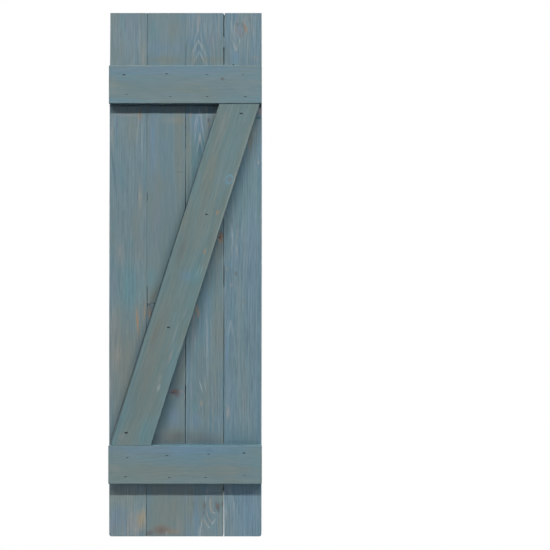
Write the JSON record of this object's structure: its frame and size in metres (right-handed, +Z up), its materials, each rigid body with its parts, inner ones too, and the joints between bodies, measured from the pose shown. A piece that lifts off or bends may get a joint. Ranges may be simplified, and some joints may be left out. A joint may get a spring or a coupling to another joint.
{
  "type": "board and batten shutter",
  "caption": "Fixed wooden window shutter of upright boards held by two level battens with a diagonal brace between them, in a weathered blue stain.",
  "frame": {"origin": "middle of the boards' back face, on the wall plane", "axes": "+Z up along the boards, +X to the right seen from the front, +Y out of the back into the wall, so the battens face -Y"},
  "size_m": [0.3556, 0.038, 1.2192],
  "materials": {
    "boards": "blue-grey semi-transparent stain on knotty softwood, with grain, knots and tan streaks showing",
    "battens": "blue-green semi-transparent stain on softwood, grain running level, matt",
    "brace": "green-grey semi-transparent stain on softwood, grain running along the brace, matt"
  },
  "bodies": {
    "root": {"first_board": "boards", "second_board": "boards", "third_board": "boards", "fourth_board": "boards", "top_batten": "battens", "bottom_batten": "battens", "diagonal_brace": "brace"}
  },
  "joints": []
}
